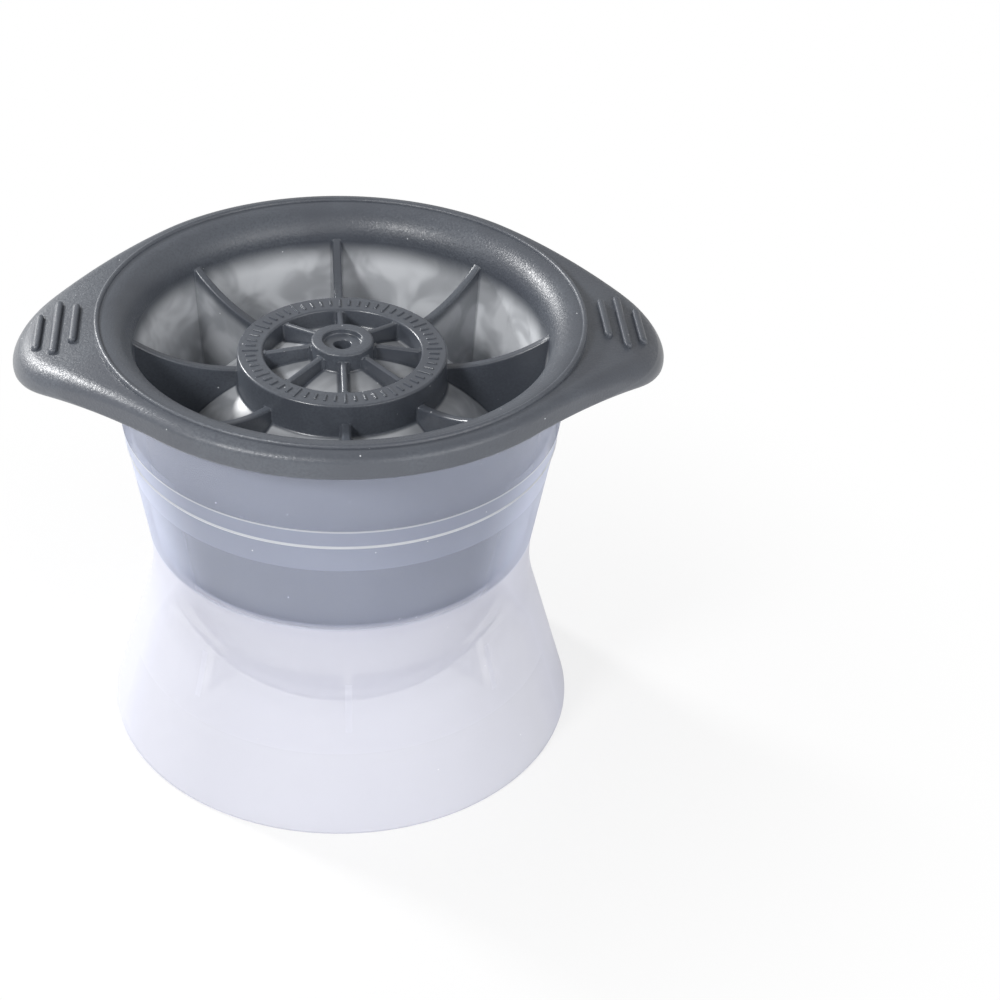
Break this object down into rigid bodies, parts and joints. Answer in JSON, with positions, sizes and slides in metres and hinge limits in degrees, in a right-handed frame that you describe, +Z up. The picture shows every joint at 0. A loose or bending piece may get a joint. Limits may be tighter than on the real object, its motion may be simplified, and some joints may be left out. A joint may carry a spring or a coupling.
{
  "type": "ice ball mold",
  "caption": "Two-piece mold for one ice ball: a soft cap with a domed plug and two drooping ears, pressed into a rigid translucent hourglass base with a lower bowl.",
  "frame": {"origin": "centre of the foot, on the surface that the mold stands on", "axes": "+Z up along the axis of the ball, +X towards one ear, so that -Y is the side the picture is taken from"},
  "size_m": [0.1116, 0.0886, 0.0815],
  "materials": {
    "clear_plastic": "milky translucent moulded plastic, gloss outside",
    "charcoal_silicone": "satin moulded silicone, charcoal grey"
  },
  "bodies": {
    "base": {"plastic_base": "clear_plastic"},
    "cap": {"silicone_cap": "charcoal_silicone"}
  },
  "joints": [
    {"name": "cap_lift", "type": "slide", "parent": "base", "child": "cap", "axis": [0, 0, 1], "range_m": [0, 0.055]}
  ]
}
